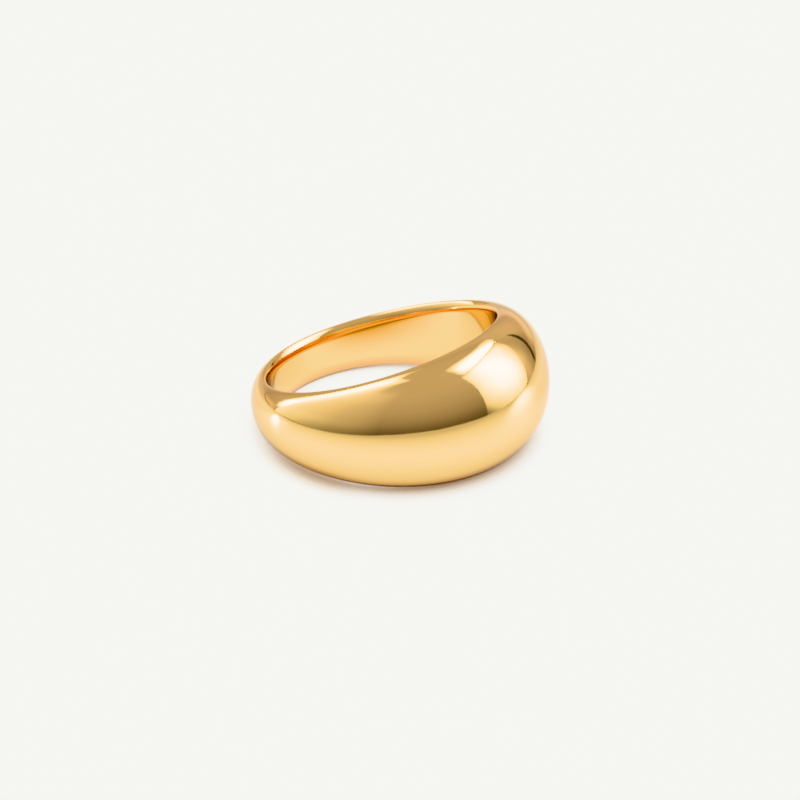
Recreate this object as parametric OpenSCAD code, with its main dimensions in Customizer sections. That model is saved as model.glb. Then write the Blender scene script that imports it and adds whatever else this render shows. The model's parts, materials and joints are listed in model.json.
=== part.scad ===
// Dome ring: a plain band for the finger that swells into a high round dome at the front.
// It lies on its side at z = 0, as it rests by itself: the wide dome props its side of the hole up.
// Millimetres. +Z is up, the dome faces -Y, and the origin is under the middle of the ring.

/* [Finger hole] */
// Radius of the finger hole
hole_r = 8.65; // [7:0.05:11.5]
// Radius of the soft edge between the hole and each rim
rim_edge_r = 0.35; // [0.1:0.05:0.6]

/* [Dome] */
// Width of the dome across its middle, rim to rim
dome_w = 10; // [6:0.1:16]
// Thickness of the metal in the middle of the dome
dome_t = 3.8; // [2:0.1:6]

/* [Back of the band] */
// Width of the band at the back of the finger
band_w = 3.5; // [2:0.1:5.5]
// Thickness of the metal at the back of the finger
band_t = 1.5; // [1:0.1:2]

/* [Shoulders] */
// How early the width narrows on the way to the back, 1 is a plain cosine
width_taper = 1.28; // [0.8:0.02:2.5]
// How early the thickness falls on the way to the back
thickness_taper = 1.6; // [0.8:0.02:2.5]

/* [Smoothness] */
// Sections around the ring
sections = 96; // [60:4:120]
// Steps over the crown of a section, rim to rim
crown_steps = 24; // [16:2:28]
// Steps round each soft edge
edge_steps = 4; // [2:1:5]

/* [Hidden] */

// Past the soft edges a section runs on this far into the hole, where the bore cuts it off
cut_depth = 0.05;
// How far the cutting cylinder stands out of the widest ring
cut_margin = 5;
// The search for the resting tilt halves this angle until it is fine enough
steepest_tilt = 45;
tilt_halvings = 24;

// Share of the dome at an angle from its middle: 1 in front, 0 at the back of the finger
function dome_share(angle) = (1 + cos(angle)) / 2;

function width_at(angle) = band_w + (dome_w - band_w) * pow(dome_share(angle), width_taper);

function thickness_at(angle) = band_t + (dome_t - band_t) * pow(dome_share(angle), thickness_taper);

// A section is a list of [distance from the hole's axis, height], and lies evenly about height 0.
// The crown is half an ellipse between the two rims.
function crown(half_w, rise) = [
    for (i = [0 : crown_steps])
        let (swing = 90 - 180 * i / crown_steps)
        [hole_r + rim_edge_r + rise * cos(swing), half_w * sin(swing)]
];

// The soft edge turns from the top of the rim into the hole. Its last step runs on past the wall.
function soft_edge(half_w) =
    let (
        arc = [
            for (i = [edge_steps : -1 : 1])
                let (turn = 90 * i / edge_steps)
                [hole_r + rim_edge_r * (1 - sin(turn)), half_w - rim_edge_r * (1 - cos(turn))]
        ],
        last = arc[0],
        before = edge_steps > 1 ? arc[1] : [hole_r + rim_edge_r, half_w],
        run_on = cut_depth / (before.x - last.x)
    )
    concat([last + (last - before) * run_on], [for (i = [1 : edge_steps - 1]) arc[i]]);

function mirrored(points) = [for (i = [len(points) - 1 : -1 : 0]) [points[i].x, -points[i].y]];

function section(angle) =
    let (
        half_w = width_at(angle) / 2,
        edge = soft_edge(half_w)
    )
    concat(edge, crown(half_w, thickness_at(angle) - rim_edge_r), mirrored(edge));

// Angles are counted from the dome, which faces -Y
function in_place(point, angle) = [point.x * sin(angle), -point.x * cos(angle), point.y];

section_points = 2 * edge_steps + crown_steps + 1;
skin = [
    for (s = [0 : sections - 1])
        let (angle = 360 * s / sections)
        for (point = section(angle)) in_place(point, angle)
];

// Each patch between two sections is two triangles, and the last section joins the first
function corner(s, i) = (s % sections) * section_points + i % section_points;

patches = [
    for (s = [0 : sections - 1], i = [0 : section_points - 1])
        each [
            [corner(s, i), corner(s, i + 1), corner(s + 1, i + 1)],
            [corner(s, i), corner(s + 1, i + 1), corner(s + 1, i)]
        ]
];

// Resting tilt: the dome is lifted until the dome's half and the band's half reach equally low
dome_half = [for (p = skin) if (p.y < 0) p];
band_half = [for (p = skin) if (p.y >= 0) p];

function height_tilted(p, tilt) = p.z * cos(tilt) - p.y * sin(tilt);

function lowest(points, tilt) = min([for (p = points) height_tilted(p, tilt)]);

function resting_tilt(low, high, halvings) =
    let (middle = (low + high) / 2)
    halvings == 0 ? middle
    : lowest(dome_half, middle) < lowest(band_half, middle)
        ? resting_tilt(middle, high, halvings - 1)
        : resting_tilt(low, middle, halvings - 1);

rest_tilt = resting_tilt(-steepest_tilt, steepest_tilt, tilt_halvings);
rest_low = lowest(skin, rest_tilt);
rest_y = [for (p = skin) p.y * cos(rest_tilt) + p.z * sin(rest_tilt)];
rest_middle_y = (min(rest_y) + max(rest_y)) / 2;

module ring() {
    color("goldenrod")
    translate([0, -rest_middle_y, -rest_low])
    rotate([-rest_tilt, 0, 0])
    difference() {
        polyhedron(points = skin, faces = patches, convexity = 6);
        finger_hole();
    }
}

module finger_hole() {
    cylinder(r = hole_r, h = max(dome_w, band_w) + 2 * cut_margin, center = true, $fn = 96);
}

ring();
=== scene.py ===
# A polished gold dome ring that lies on its side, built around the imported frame.
# Metres, +Z up. Studio angles are counted round the ring: 0 is towards the camera, 90 to its right.
import json
import math
import bpy
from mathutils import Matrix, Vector


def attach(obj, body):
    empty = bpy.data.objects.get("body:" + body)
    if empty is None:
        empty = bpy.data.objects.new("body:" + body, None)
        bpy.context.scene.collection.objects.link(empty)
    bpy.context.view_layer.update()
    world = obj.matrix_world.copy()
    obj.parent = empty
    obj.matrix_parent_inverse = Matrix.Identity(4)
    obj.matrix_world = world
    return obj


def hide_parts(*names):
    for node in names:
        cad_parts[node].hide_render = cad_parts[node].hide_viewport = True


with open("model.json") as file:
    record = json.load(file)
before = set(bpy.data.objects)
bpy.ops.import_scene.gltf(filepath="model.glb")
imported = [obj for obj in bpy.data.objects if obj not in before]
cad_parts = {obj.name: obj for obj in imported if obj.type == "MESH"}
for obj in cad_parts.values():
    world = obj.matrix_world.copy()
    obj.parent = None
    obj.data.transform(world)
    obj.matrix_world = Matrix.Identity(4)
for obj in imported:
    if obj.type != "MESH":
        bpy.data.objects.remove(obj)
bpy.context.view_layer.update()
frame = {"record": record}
scene = bpy.context.scene
mm = 0.001
degree = math.radians(1)
up = Vector((0, 0, 1))

# the finger hole's own directions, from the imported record
bore = next(m for m in frame["record"]["mounts"] if m["name"] == "finger_hole")
boreCentre = Vector(bore["pos_m"])
boreAxis = Vector(bore["axis"]).normalized()
ringRight = Vector((1, 0, 0))
ringBack = boreAxis.cross(ringRight)  # from the dome to the thin back of the band


def linearColour(hexColour):
    parts = [int(hexColour[i:i + 2], 16) / 255 for i in (1, 3, 5)]
    return tuple(p / 12.92 if p <= 0.04045 else ((p + 0.055) / 1.055) ** 2.4 for p in parts) + (1.0,)


# adds a node with its settings, and links or fills its sockets, by name or by place:
# a Mix node has its share at 0, numbers at 2 and 3 with output 0, and colours at 6 and 7 with output 2
def addNode(tree, kind, settings=None, sockets=None):
    node = tree.nodes.new(kind)
    for name, value in (settings or {}).items():
        setattr(node, name, value)
    for name, value in (sockets or {}).items():
        if isinstance(value, bpy.types.NodeSocket):
            tree.links.new(value, node.inputs[name])
        else:
            node.inputs[name].default_value = value
    return node


def emptyMaterial(name):
    material = bpy.data.materials.new(name)
    material.use_nodes = True
    material.node_tree.nodes.clear()
    return material


def meshObject(name, points, faces, material, smooth=False):
    mesh = bpy.data.meshes.new(name)
    mesh.from_pydata([tuple(p) for p in points], [], faces)
    mesh.polygons.foreach_set("use_smooth", [smooth] * len(mesh.polygons))
    mesh.materials.append(material)
    mesh.update()
    made = bpy.data.objects.new(name, mesh)
    scene.collection.objects.link(made)
    return made


# camera
view = {
    "turn": -51.25,  # degrees round the ring from straight in front of the dome
    "height": 29.27,  # degrees above the table
    "distance": 0.6,
    "lens": 364.0,  # millimetres, a long lens
    "sensor": 36,  # millimetres across
    "nearest": 0.01,
    "furthest": 10,
    "aimRight": 0.924 * mm,  # the photo's middle lies this far beside and below the hole's centre
    "aimDown": 1.163 * mm,
}


def makeCamera():
    turn = math.radians(view["turn"])
    height = math.radians(view["height"])
    back = Vector((math.sin(turn) * math.cos(height),
                   -math.cos(turn) * math.cos(height),
                   math.sin(height)))
    right = Vector((math.cos(turn), math.sin(turn), 0))
    camera = bpy.data.objects.new("camera", bpy.data.cameras.new("camera"))
    scene.collection.objects.link(camera)
    camera.data.sensor_width = view["sensor"]
    camera.data.lens = view["lens"]
    camera.data.clip_start = view["nearest"]
    camera.data.clip_end = view["furthest"]
    aim = boreCentre + right * view["aimRight"] - back.cross(right) * view["aimDown"]
    camera.location = aim + back * view["distance"]
    camera.rotation_mode = "QUATERNION"
    camera.rotation_quaternion = back.to_track_quat("Z", "Y")
    scene.camera = camera
    return right, Vector((back.x, back.y, 0)).normalized()


cameraRight, towardsCamera = makeCamera()
print("camera ready")


def studioPoint(angle, distance, height=0.0):
    angle = math.radians(angle)
    return (towardsCamera * math.cos(angle) + cameraRight * math.sin(angle)) * distance + up * height


# the turn about Z that points X at a studio angle
def flatTurn(angle):
    way = studioPoint(angle, 1)
    return math.atan2(way.y, way.x)


# the ring's body
ring = {
    "holeRadius": bore["dims"]["r_mm"] * mm,
    "rimEdge": 0.35 * mm,  # soft edge between the hole and each rim
    "edgeDown": 0.85 * mm,  # how far down the hole that edge runs out
    "domeWidth": 10 * mm,
    "domeThickness": 3.8 * mm,
    "bandWidth": 3.5 * mm,
    "bandThickness": 1.5 * mm,
    "widthTaper": 1.28,  # how early the ring narrows from the dome to the band, 1 is a plain cosine
    "thicknessTaper": 1.6,
    "sections": 360,
    "crownSteps": 120,
    "edgeSteps": 10,
    "wallSteps": 12,
}


# one section as (distance from the hole's axis, height): over the top rim's soft edge, the crown and
# the bottom rim's soft edge, then up the wall of the hole
def ringSection(angle):
    share = (1 + math.cos(angle)) / 2  # 1 in the middle of the dome, 0 at the back of the finger
    wider = (ring["domeWidth"] - ring["bandWidth"]) * share ** ring["widthTaper"]
    thicker = (ring["domeThickness"] - ring["bandThickness"]) * share ** ring["thicknessTaper"]
    halfWidth = (ring["bandWidth"] + wider) / 2
    thickness = ring["bandThickness"] + thicker
    edge = ring["rimEdge"]
    down = ring["edgeDown"]
    hole = ring["holeRadius"]
    points = []
    for i in range(ring["edgeSteps"]):
        turn = math.pi / 2 * (1 - i / ring["edgeSteps"])
        points.append((hole + edge * (1 - math.sin(turn)), halfWidth - down * (1 - math.cos(turn))))
    for i in range(ring["crownSteps"] + 1):
        swing = math.pi * (0.5 - i / ring["crownSteps"])
        points.append((hole + edge + (thickness - edge) * math.cos(swing), halfWidth * math.sin(swing)))
    for i in range(1, ring["edgeSteps"] + 1):
        turn = math.pi / 2 * i / ring["edgeSteps"]
        points.append((hole + edge * (1 - math.sin(turn)), down * (1 - math.cos(turn)) - halfWidth))
    wall = halfWidth - down
    for i in range(1, ring["wallSteps"]):
        points.append((hole, wall * (2 * i / ring["wallSteps"] - 1)))
    return points


def makeRing(material):
    points = []
    for s in range(ring["sections"]):
        angle = 2 * math.pi * s / ring["sections"]
        outward = ringRight * math.sin(angle) - ringBack * math.cos(angle)
        points += [boreCentre + outward * r + boreAxis * h for r, h in ringSection(angle)]
    count = len(points) // ring["sections"]
    faces = []
    for s in range(ring["sections"]):
        here = s * count
        there = (s + 1) % ring["sections"] * count
        for i in range(count):
            j = (i + 1) % count
            faces.append((here + i, here + j, there + j, there + i))
    made = meshObject("ring_body", points, faces, material, smooth=True)
    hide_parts("ring")
    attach(made, "root")


# Gold-plated brass, cast, then polished on a felt wheel: a bright mirror, very slightly soft.
gold = {
    "colour": "#FECE86",
    "holeReflectionTint": "#FEDC86",  # painted reflection tint: the wall of the hole is a more yellow gold, standing in for the deeper gold of light thrown to and fro in the hole
    "holeFade": 0.06 * mm,  # how far from the wall that painted tint runs out
    "edgeColour": "#D8D2D6",  # where the surface turns away it is paler and a little duller
    "roughness": (0.045, 0.075),
    "blotch": 1.6 * mm,  # patches that the wheel left a little more or less bright
    "blotchRange": (0.3, 0.7),  # the part of the noise that goes from one roughness to the other
    "blotchDetail": 3.0,
    "wave": 2.5 * mm,  # the slow swell of a hand-polished face
    "waveDetail": 0.0,
    "waveDepth": 0.0006 * mm,
    "line": 0.12 * mm,  # real wheel lines are about 0.01 mm, drawn coarser so that they show at all
    "lineDetail": 2.0,
    "lineDepth": 0.00002 * mm,
}


def polishedGold():
    material = emptyMaterial("gold_plated_brass_polished")
    tree = material.node_tree
    place = addNode(tree, "ShaderNodeTexCoord").outputs["Object"]

    # the colour, by the distance from the hole's axis, with the painted reflection tint on the wall of
    # the hole
    fromHole = addNode(tree, "ShaderNodeVectorMath", {"operation": "SUBTRACT"}, {0: place, 1: boreCentre})
    fromHole = addNode(tree, "ShaderNodeVectorMath", {"operation": "CROSS_PRODUCT"},
                       {0: fromHole.outputs["Vector"], 1: boreAxis})
    fromHole = addNode(tree, "ShaderNodeVectorMath", {"operation": "LENGTH"},
                       {0: fromHole.outputs["Vector"]})
    outside = addNode(tree, "ShaderNodeMapRange", None,
                      {"Value": fromHole.outputs["Value"], "From Min": ring["holeRadius"],
                       "From Max": ring["holeRadius"] + gold["holeFade"]})
    colour = addNode(tree, "ShaderNodeMix", {"data_type": "RGBA"},
                     {0: outside.outputs["Result"], 6: linearColour(gold["holeReflectionTint"]),
                      7: linearColour(gold["colour"])}).outputs[2]

    # what the polishing wheel left
    blotches = addNode(tree, "ShaderNodeTexNoise", None,
                       {"Vector": place, "Scale": 1 / gold["blotch"], "Detail": gold["blotchDetail"]})
    roughness = addNode(tree, "ShaderNodeMapRange", None,
                        {"Value": blotches.outputs["Fac"],
                         "From Min": gold["blotchRange"][0], "From Max": gold["blotchRange"][1],
                         "To Min": gold["roughness"][0], "To Max": gold["roughness"][1]})
    waves = addNode(tree, "ShaderNodeTexNoise", None,
                    {"Vector": place, "Scale": 1 / gold["wave"], "Detail": gold["waveDetail"]})
    swell = addNode(tree, "ShaderNodeBump", None,
                    {"Height": waves.outputs["Fac"], "Distance": gold["waveDepth"]})
    lines = addNode(tree, "ShaderNodeTexNoise", None,
                    {"Vector": place, "Scale": 1 / gold["line"], "Detail": gold["lineDetail"]})
    grain = addNode(tree, "ShaderNodeBump", None,
                    {"Height": lines.outputs["Fac"], "Distance": gold["lineDepth"],
                     "Normal": swell.outputs["Normal"]})
    shader = addNode(tree, "ShaderNodeBsdfPrincipled", None,
                     {"Base Color": colour, "Metallic": 1.0,
                      "Specular Tint": linearColour(gold["edgeColour"]),
                      "Roughness": roughness.outputs["Result"], "Normal": grain.outputs["Normal"]})
    addNode(tree, "ShaderNodeOutputMaterial", None, {"Surface": shader.outputs["BSDF"]})
    return material


makeRing(polishedGold())
print("ring ready")

# The table, once as the camera sees it and once as it shows in the gold. Both are opal acrylic sheet,
# extruded and lit from below,
# with no grain and no gloss: the camera's sheet glows evenly but for a painted contact shadow, the sheet
# in the gold has painted light and shade in its glow.
table = {
    "size": 3.0,
    "drop": 0.01 * mm,  # keeps the two sheets apart
    "glow": 1.3,
    # the contact shadow, warm with the gold's own light, by the share of the sky that is open close by;
    # the brighter light comes from the back right, so its share of the sky leans that way
    "contactReach": 1.9 * mm,
    "contactLean": (150, 0.5),  # studio angle, and how far it leans for each 1 up
    "contactRays": 8,
    "contact": [(0.0, "#5E4733"), (0.1, "#826549"), (0.2, "#B59E87"), (0.27, "#C6B39F"),
                (0.34, "#D1C5B6"), (0.41, "#DBD3CA"), (0.5, "#E6E2DC"), (0.62, "#F1F0EC"),
                (0.8, "#FAFAF6"), (1.0, "#FFFFFB")],
    # the soft shadow that the ring throws away from the boxes
    "castShade": {"angle": -46, "reach": 9.2 * mm, "turn": 44, "half": (6.5 * mm, 2.6 * mm),
                  "focus": 1.0, "level": 1.0},
    "castColour": "#E3D4C2",
    # the colour of the sheet in the gold, and its painted pool of light, dimmer close to the ring with
    # painted shade, by millimetres from the ring's middle
    "goldColour": "#F8FFFD",
    "pool": [(9, 1.1), (10, 1.25), (11.2, 1.4), (12, 1.65), (13, 2.0), (14.5, 2.45), (17, 2.65),
             (19, 2.45), (21, 2.2), (25, 1.8), (32, 1.35), (45, 0.96), (60, 0.8), (80, 0.74)],
    # behind the ring, painted shade near by and painted light far off, by millimetres from the ring's
    # middle
    "behind": [(9, 0.95), (10.5, 1.0), (12.5, 0.72), (16, 0.68), (21, 0.8), (26, 1.1), (36, 1.48),
               (60, 1.38), (150, 1.4)],
    "behindFrom": (4 * mm, -6 * mm),  # where that sets in and is complete, counted towards the camera
    # inside the hole the dome keeps the light off its own side, by millimetres towards the camera
    "inHoleReach": 9.5 * mm,
    "inHoleColour": "#F8F0FD",
    "inHole": [(-9.5, 1.5), (-7, 1.6), (-5.5, 2.0), (-3, 2.0), (-1, 1.75), (1.2, 1.4), (3, 1.1),
               (5, 0.65), (7, 0.45), (9.5, 0.3)],
    "wallColour": "#FFD382",  # the light that the gold wall beside it gives, and its share
    "wallTint": [(-9.5, 0.1), (-6.5, 0.1), (-5, 0.0), (-3, 0.1), (0, 0.4), (1.5, 0.6), (3, 0.9),
                 (5, 1.0), (9.5, 1.0)],
    # brighter patches, where the lights beside the sheet fall on it
    "patches": [
        {"angle": -90.5, "reach": 26 * mm, "turn": -109, "half": (20 * mm, 3.5 * mm),
         "focus": 3.0, "level": 38.0},
        {"angle": -87.7, "reach": 25 * mm, "turn": -90, "half": (14 * mm, 8 * mm),
         "focus": 1.0, "level": 2.2},
        {"angle": 91, "reach": 40 * mm, "turn": 105, "half": (38 * mm, 14 * mm),
         "focus": 2.0, "level": 11.0},
        {"angle": 97, "reach": 13 * mm, "turn": 97, "half": (7 * mm, 9 * mm),
         "focus": 1.0, "level": 0.7},
    ],
    # how many millimetres the sheet in the gold reaches from the ring's middle, by studio angle
    "edge": [(-180, 160), (-160, 150), (-150, 120), (-136, 85), (-124, 80), (-114, 68), (-105, 57),
             (-91, 54), (-72, 54), (-61, 57), (-51, 61), (-41, 73), (-31, 86), (-22, 105), (-13, 150),
             (-4, 165), (6, 205), (16, 205), (26, 165), (37, 175), (48, 130), (59, 96), (65, 92),
             (77, 71), (88, 68), (101, 66), (114, 67), (120, 68), (132, 75), (145, 110), (160, 150),
             (180, 160)],
}


# the amount at a measured place, on a smooth curve through given (place, amount) points
def amountAt(tree, measure, points, unit=mm):
    start, end = points[0][0], points[-1][0]
    most = max(amount for place, amount in points)
    share = addNode(tree, "ShaderNodeMapRange", None,
                    {"Value": measure, "From Min": start * unit, "From Max": end * unit})
    drawn = addNode(tree, "ShaderNodeFloatCurve", None, {"Value": share.outputs["Result"]})
    curve = drawn.mapping.curves[0]
    for place, amount in points[1:-1]:
        curve.points.new((place - start) / (end - start), amount / most)
    curve.points[0].location = (0, points[0][1] / most)
    curve.points[-1].location = (1, points[-1][1] / most)
    for point in curve.points:
        point.handle_type = "AUTO_CLAMPED"
    drawn.mapping.update()
    return addNode(tree, "ShaderNodeMath", {"operation": "MULTIPLY"},
                   {0: drawn.outputs["Value"], 1: most}).outputs[0]


# a soft oval on the sheet, strongest in its middle
def softOval(tree, place, oval):
    spot = addNode(tree, "ShaderNodeMapping", {"vector_type": "TEXTURE"},
                   {"Vector": place, "Location": studioPoint(oval["angle"], oval["reach"]),
                    "Rotation": (0, 0, flatTurn(oval["turn"])), "Scale": (*oval["half"], 1.0)})
    spot = addNode(tree, "ShaderNodeVectorMath", {"operation": "LENGTH"}, {0: spot.outputs["Vector"]})
    spot = addNode(tree, "ShaderNodeMapRange", {"interpolation_type": "SMOOTHERSTEP"},
                   {"Value": spot.outputs["Value"], "From Min": 0.0, "From Max": 1.0,
                    "To Min": 1.0, "To Max": 0.0})
    spot = addNode(tree, "ShaderNodeMath", {"operation": "POWER"},
                   {0: spot.outputs["Result"], 1: oval["focus"]})
    return addNode(tree, "ShaderNodeMath", {"operation": "MULTIPLY"},
                   {0: spot.outputs[0], 1: oval["level"]}).outputs[0]


# the colour the gold leaves on the table where it keeps most of the sky away
def contactShade(tree, place):
    lean = studioPoint(*table["contactLean"], 1).normalized()
    sky = addNode(tree, "ShaderNodeAmbientOcclusion", {"samples": table["contactRays"]},
                  {"Distance": table["contactReach"], "Normal": lean})
    shade = addNode(tree, "ShaderNodeValToRGB", None, {"Fac": sky.outputs["AO"]})
    ramp = shade.color_ramp
    for share, colour in table["contact"][1:-1]:
        ramp.elements.new(share)
    for element, (share, colour) in zip(ramp.elements, table["contact"]):
        element.position = share
        element.color = linearColour(colour)
    cast = softOval(tree, place, table["castShade"])
    return addNode(tree, "ShaderNodeMix", {"data_type": "RGBA", "blend_type": "MULTIPLY"},
                   {0: cast, 6: shade.outputs["Color"], 7: linearColour(table["castColour"])}).outputs[2]


def makeTable():
    opal = emptyMaterial("opal_acrylic_sheet_lit_from_below")
    tree = opal.node_tree
    place = addNode(tree, "ShaderNodeTexCoord").outputs["Object"]
    # an even glow, with the painted contact shadow in its colour
    glow = addNode(tree, "ShaderNodeEmission", None,
                   {"Color": contactShade(tree, place), "Strength": table["glow"]})
    addNode(tree, "ShaderNodeOutputMaterial", None, {"Surface": glow.outputs["Emission"]})
    half = table["size"] / 2
    low = -table["drop"]
    corners = [(-half, -half, low), (half, -half, low), (half, half, low), (-half, half, low)]
    made = meshObject("table", corners, [(0, 1, 2, 3)], opal)
    made.visible_glossy = False  # the gold shows the other sheet
    return made


def makeTableInTheGold():
    # its glow holds painted pools and patches of light, painted shade and the painted gold light of the
    # hole's wall
    opal = emptyMaterial("opal_acrylic_sheet_painted_light_round_the_ring")
    tree = opal.node_tree
    place = addNode(tree, "ShaderNodeTexCoord").outputs["Object"]
    reach = addNode(tree, "ShaderNodeVectorMath", {"operation": "LENGTH"}, {0: place}).outputs["Value"]
    nearer = addNode(tree, "ShaderNodeVectorMath", {"operation": "DOT_PRODUCT"},
                     {0: place, 1: towardsCamera}).outputs["Value"]
    inHole = addNode(tree, "ShaderNodeMath", {"operation": "LESS_THAN"},
                     {0: reach, 1: table["inHoleReach"]}).outputs[0]

    # the painted light and shade round the ring, then inside the hole
    behind = addNode(tree, "ShaderNodeMapRange", None,
                     {"Value": nearer, "From Min": table["behindFrom"][0],
                      "From Max": table["behindFrom"][1]}).outputs["Result"]
    change = amountAt(tree, reach, table["behind"])
    change = addNode(tree, "ShaderNodeMix", None, {0: behind, 2: 1.0, 3: change}).outputs[0]
    level = amountAt(tree, reach, table["pool"])
    level = addNode(tree, "ShaderNodeMath", {"operation": "MULTIPLY"}, {0: level, 1: change}).outputs[0]
    for patch in table["patches"]:
        brighter = softOval(tree, place, patch)
        level = addNode(tree, "ShaderNodeMath", {"operation": "ADD"}, {0: level, 1: brighter}).outputs[0]
    inside = amountAt(tree, nearer, table["inHole"])
    level = addNode(tree, "ShaderNodeMix", None, {0: inHole, 2: level, 3: inside}).outputs[0]

    # its colour, with the shade under the ring and the light of the hole's wall
    tint = amountAt(tree, nearer, table["wallTint"])
    tint = addNode(tree, "ShaderNodeMath", {"operation": "MULTIPLY"}, {0: tint, 1: inHole}).outputs[0]
    colour = addNode(tree, "ShaderNodeMix", {"data_type": "RGBA"},
                     {0: inHole, 6: linearColour(table["goldColour"]),
                      7: linearColour(table["inHoleColour"])}).outputs[2]
    colour = addNode(tree, "ShaderNodeMix", {"data_type": "RGBA", "blend_type": "MULTIPLY"},
                     {0: 1.0, 6: contactShade(tree, place), 7: colour}).outputs[2]
    colour = addNode(tree, "ShaderNodeMix", {"data_type": "RGBA", "blend_type": "MULTIPLY"},
                     {0: tint, 6: colour, 7: linearColour(table["wallColour"])}).outputs[2]
    glow = addNode(tree, "ShaderNodeEmission", None, {"Color": colour, "Strength": level})
    addNode(tree, "ShaderNodeOutputMaterial", None, {"Surface": glow.outputs["Emission"]})

    outline = [studioPoint(angle, reach * mm) for angle, reach in table["edge"][:-1]]
    faces = [(0, i + 1, (i + 1) % len(outline) + 1) for i in range(len(outline))]
    made = meshObject("table_in_the_gold", [Vector((0, 0, 0))] + outline, faces, opal)
    for kind in ("camera", "diffuse", "transmission", "volume_scatter", "shadow"):
        setattr(made, "visible_" + kind, False)
    return made


seen = makeTable()
sheet = makeTableInTheGold()
print("table ready")

# The room as the gold shows it: dark at the table's height, lighter towards the ceiling
room = {
    "backdrop": "#FFFFFB",  # as the table, so that no line shows between them
    "backdropLevel": 1.3,
    # how bright the walls are, by degrees above level
    "walls": [(-90, 0.1), (-6, 0.12), (0, 0.18), (5, 0.26), (10, 0.34), (20, 0.45), (30, 0.52),
              (45, 0.58), (60, 0.61), (90, 0.61)],
}


def makeRoom():
    world = bpy.data.worlds.new("studio_room")
    scene.world = world
    world.use_nodes = True
    tree = world.node_tree
    tree.nodes.clear()
    direction = addNode(tree, "ShaderNodeTexCoord").outputs["Generated"]
    parts = addNode(tree, "ShaderNodeSeparateXYZ", None, {0: direction})
    height = addNode(tree, "ShaderNodeMath", {"operation": "ARCSINE"}, {0: parts.outputs["Z"]})
    level = amountAt(tree, height.outputs[0], room["walls"], degree)
    walls = addNode(tree, "ShaderNodeBackground", None, {"Color": (1, 1, 1, 1), "Strength": level})
    backdrop = addNode(tree, "ShaderNodeBackground", None,
                       {"Color": linearColour(room["backdrop"]), "Strength": room["backdropLevel"]})
    ray = addNode(tree, "ShaderNodeLightPath")
    mix = addNode(tree, "ShaderNodeMixShader", None,
                  {0: ray.outputs["Is Camera Ray"], 1: walls.outputs[0], 2: backdrop.outputs[0]})
    addNode(tree, "ShaderNodeOutputWorld", None, {"Surface": mix.outputs[0]})


makeRoom()
print("room ready")

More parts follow.
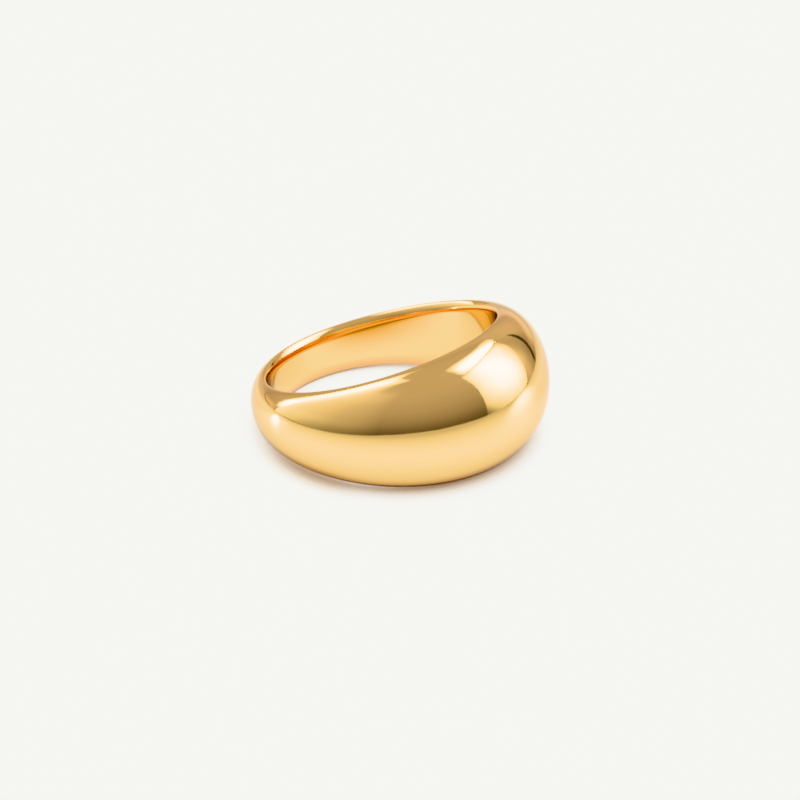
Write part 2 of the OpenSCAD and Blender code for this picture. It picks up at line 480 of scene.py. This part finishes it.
# Lights: diffusers bent round the ring that add to the walls behind them, and dark cards before them.
# lower and upper are a sheet's edges as (studio angle, degrees above the hole's centre).
# across gives its light by studio angle, upward as shares of that from its lower to its upper edge.
lights = {
    "right_box": {
        "lower": [(65.5, -5), (114, -5)],
        "upper": [(65.5, 55.5), (90, 56), (100, 55), (114, 52.5)],
        "across": [(65.5, 2.2), (70, 4.8), (80, 15), (90, 36), (98, 44), (104, 26), (110, 6), (114, 0)],
        "upward": [(0, 0.05), (0.1, 0.12), (0.2, 0.28), (0.3, 0.52), (0.4, 0.75), (0.5, 1.0),
                   (0.75, 1.0), (0.88, 0.85), (0.95, 0.5), (1, 0.25)],
    },
    "right_box_side": {
        "lower": [(97, -5), (110, -5), (114, 3), (120, 18.5), (126, 26), (132, 31), (139, 36), (146, 39)],
        "upper": [(97, 55.3), (110, 53.4), (120, 51.5), (130, 47.2), (140, 42.6), (146, 40.5)],
        "across": [(97, 0), (104, 14), (110, 22), (115, 17), (120, 13), (130, 7.5), (140, 1.6),
                   (146, 0.4)],
        "upward": [(0, 0.08), (0.1, 0.13), (0.17, 0.21), (0.26, 0.29), (0.4, 0.41), (0.6, 0.8),
                   (0.75, 1.0), (0.92, 0.95), (1, 0.65)],
    },
    "right_haze": {
        "lower": [(112, -6), (138, -6)],
        "upper": [(112, 36), (138, 36)],
        "across": [(112, 0.1), (118, 0.45), (124, 0.28), (131, 0.08), (138, 0)],
        "upward": [(0, 0.1), (0.2, 0.4), (0.4, 1.0), (0.7, 1.0), (1, 0)],
    },
    "right_top_box": {
        "lower": [(72, 58), (90, 58.2), (100, 57.3), (110, 55.8), (120, 53.6), (130, 50.4), (140, 45.8),
                  (150, 40.8), (168, 36)],
        "upper": [(72, 68), (90, 77), (120, 79), (140, 74), (150, 64), (160, 54), (168, 44)],
        "across": [(72, 0), (80, 6), (90, 20), (100, 40), (120, 44), (145, 44), (152, 20), (160, 3),
                   (168, 0)],
        "upward": [(0, 0.9), (0.1, 1.0), (0.4, 1.0), (0.6, 0.45), (0.8, 0.07), (1, 0)],
    },
    "left_wall": {
        "lower": [(-113, -4), (-100, -4.6), (-80, -5.2), (-20, -6)],
        "upper": [(-113, 75), (-20, 75)],
        "across": [(-113, 3.8), (-110, 2.9), (-105, 1.8), (-100, 1.2), (-90, 0.8), (-80, 0.54),
                   (-70, 0.4), (-60, 0.28), (-40, 0.15), (-20, 0)],
        "upward": [(0, 0.85), (0.1, 1.05), (0.2, 1.2), (0.3, 1.0), (0.55, 0.95), (0.75, 1.2),
                   (0.82, 1.05), (0.87, 0.6), (0.93, 0.2), (1, 0)],
    },
    "left_back": {
        "lower": [(-166, 47), (-158, 43), (-150, 37), (-140, 28.5), (-130, 18.5), (-122, 9), (-118, 3),
                  (-113, -2)],
        "upper": [(-166, 50), (-158, 53), (-150, 58), (-140, 68), (-130, 77), (-113, 81)],
        "across": [(-166, 0), (-158, 1.5), (-154, 8), (-148, 34), (-140, 40), (-134, 28), (-128, 19),
                   (-121, 10), (-113, 4)],
        "upward": [(0, 0.0), (0.06, 0.08), (0.12, 0.4), (0.2, 0.9), (0.3, 1.0), (0.42, 1.0),
                   (0.55, 0.85), (0.68, 0.55), (0.82, 0.2), (1, 0)],
    },
    "left_streak": {
        "lower": [(-132, 23), (-124, 14), (-121, 9), (-117, 4), (-112, 4)],
        "upper": [(-132, 31), (-124, 31), (-120, 29), (-116, 24), (-112, 14)],
        "across": [(-132, 0), (-125, 26), (-120, 42), (-116, 30), (-112, 0)],
        "upward": [(0, 0.0), (0.15, 0.25), (0.35, 0.9), (0.5, 1.0), (0.75, 0.8), (1, 0)],
    },
    "back_wall": {
        "lower": [(110, -7), (250, -7)],
        "upper": [(110, 42), (250, 42)],
        "across": [(110, 0), (118, 0.45), (125, 0.35), (132, 0.28), (140, 0.42), (147, 0.8), (153, 1.15),
                   (165, 1.25), (175, 1.1), (185, 0.95), (210, 0.75), (235, 0.7), (250, 0)],
        "colour": "#FFF6EE",
        "upward": [(0, 1.2), (0.15, 1.05), (0.3, 0.4), (0.5, 0.3), (0.7, 0.2), (1, 0)],
    },
}
cards = {
    "black_card": {
        "lower": [(131, -8), (136, 0), (140, 9), (144, 16), (149.5, 26)],
        "upper": [(131, -2), (136, 8.5), (140, 17), (144, 22.5), (149.5, 28)],
        "colour": "#272727",
    },
    "backdrop_fold": {
        "lower": [(-158, 15), (-154, 12), (-149, 7), (-143, 2), (-135, -1), (-122, -4)],
        "upper": [(-158, 15.4), (-154, 12.8), (-149, 8), (-143, 3), (-135, 0), (-122, -3)],
        "colour": "#6B5535",
    },
}
# what the bent sheets share
sheets = {
    "lightColour": "#F6FFF2",  # the tubes in the boxes lean a little to green
    "lightDistance": 0.45,  # from the hole's centre
    "cardDistance": 0.43,
    "column": 2.0,  # degrees, at most
    "rows": 16,
}


# Woven white nylon diffuser, lit from behind: no thread shows, only a clear glow with soft borders.
def diffuserCloth(name, light):
    material = emptyMaterial("woven_nylon_diffuser_" + name)
    tree = material.node_tree
    place = addNode(tree, "ShaderNodeTexCoord").outputs["UV"]
    place = addNode(tree, "ShaderNodeSeparateXYZ", None, {0: place})
    across = amountAt(tree, place.outputs["X"], light["across"], 1)
    upward = amountAt(tree, place.outputs["Y"], light["upward"], 1)
    level = addNode(tree, "ShaderNodeMath", {"operation": "MULTIPLY"}, {0: across, 1: upward})
    colour = linearColour(light.get("colour", sheets["lightColour"]))
    glow = addNode(tree, "ShaderNodeEmission", None, {"Color": colour, "Strength": level.outputs[0]})
    clear = addNode(tree, "ShaderNodeBsdfTransparent")
    both = addNode(tree, "ShaderNodeAddShader", None, {0: clear.outputs[0], 1: glow.outputs[0]})
    addNode(tree, "ShaderNodeOutputMaterial", None, {"Surface": both.outputs[0]})
    return material


# Pressed paper card, dyed and uncoated: dull all over, it only keeps the light behind it away.
def paperCard(name, colour):
    material = emptyMaterial("pressed_paper_card_" + name)
    tree = material.node_tree
    shader = addNode(tree, "ShaderNodeBsdfDiffuse", None, {"Color": linearColour(colour)})
    addNode(tree, "ShaderNodeOutputMaterial", None, {"Surface": shader.outputs["BSDF"]})
    return material


# how many degrees up a sheet's edge is at a studio angle, straight between its points
def heightAt(edge, angle):
    for (a, low), (b, high) in zip(edge, edge[1:]):
        if angle <= b:
            return low + (high - low) * (angle - a) / (b - a)
    return edge[-1][1]


# a sheet bent round the ring between two edges, with the angle and the share of its height as UV
def bentSheet(name, edges, distance, material):
    start = edges["lower"][0][0]
    end = edges["lower"][-1][0]
    columns = math.ceil((end - start) / sheets["column"])
    rows = sheets["rows"]
    points = []
    places = []
    for c in range(columns + 1):
        angle = start + (end - start) * c / columns
        low = heightAt(edges["lower"], angle)
        high = heightAt(edges["upper"], angle)
        for r in range(rows + 1):
            height = math.radians(low + (high - low) * r / rows)
            out = studioPoint(angle, distance * math.cos(height), distance * math.sin(height))
            points.append(boreCentre + out)
            places.append((angle, r / rows))
    faces = []
    for c in range(columns):
        for r in range(rows):
            i = c * (rows + 1) + r
            faces.append((i, i + rows + 1, i + rows + 2, i + 1))
    sheet = meshObject(name, points, faces, material)
    layer = sheet.data.uv_layers.new(name="angle_and_share")
    for loop in sheet.data.loops:
        layer.data[loop.index].uv = places[loop.vertex_index]
    sheet.visible_camera = False
    sheet.visible_shadow = False
    return sheet


for name, light in lights.items():
    bentSheet("light_" + name, light, sheets["lightDistance"], diffuserCloth(name, light))
for name, card in cards.items():
    made = bentSheet(name, card, sheets["cardDistance"], paperCard(name, card["colour"]))
    made.visible_diffuse = False
print("lights ready")

# the finish of the picture
picture = {
    "tones": "Khronos PBR Neutral",  # colours stay true and only the brightest light rolls off to white
    "softness": 2.0,  # pixels, as in the photo
    "goldBounces": 5,  # with the next one, light thrown to and fro in the hole stays a deep gold
    "brightestBounce": 0.6,
}
scene.view_settings.view_transform = picture["tones"]
scene.cycles.filter_width = picture["softness"]
scene.cycles.glossy_bounces = picture["goldBounces"]
scene.cycles.sample_clamp_indirect = picture["brightestBounce"]
scene.cycles.caustics_reflective = False  # the gold draws no bright curves on the table
print("picture ready")
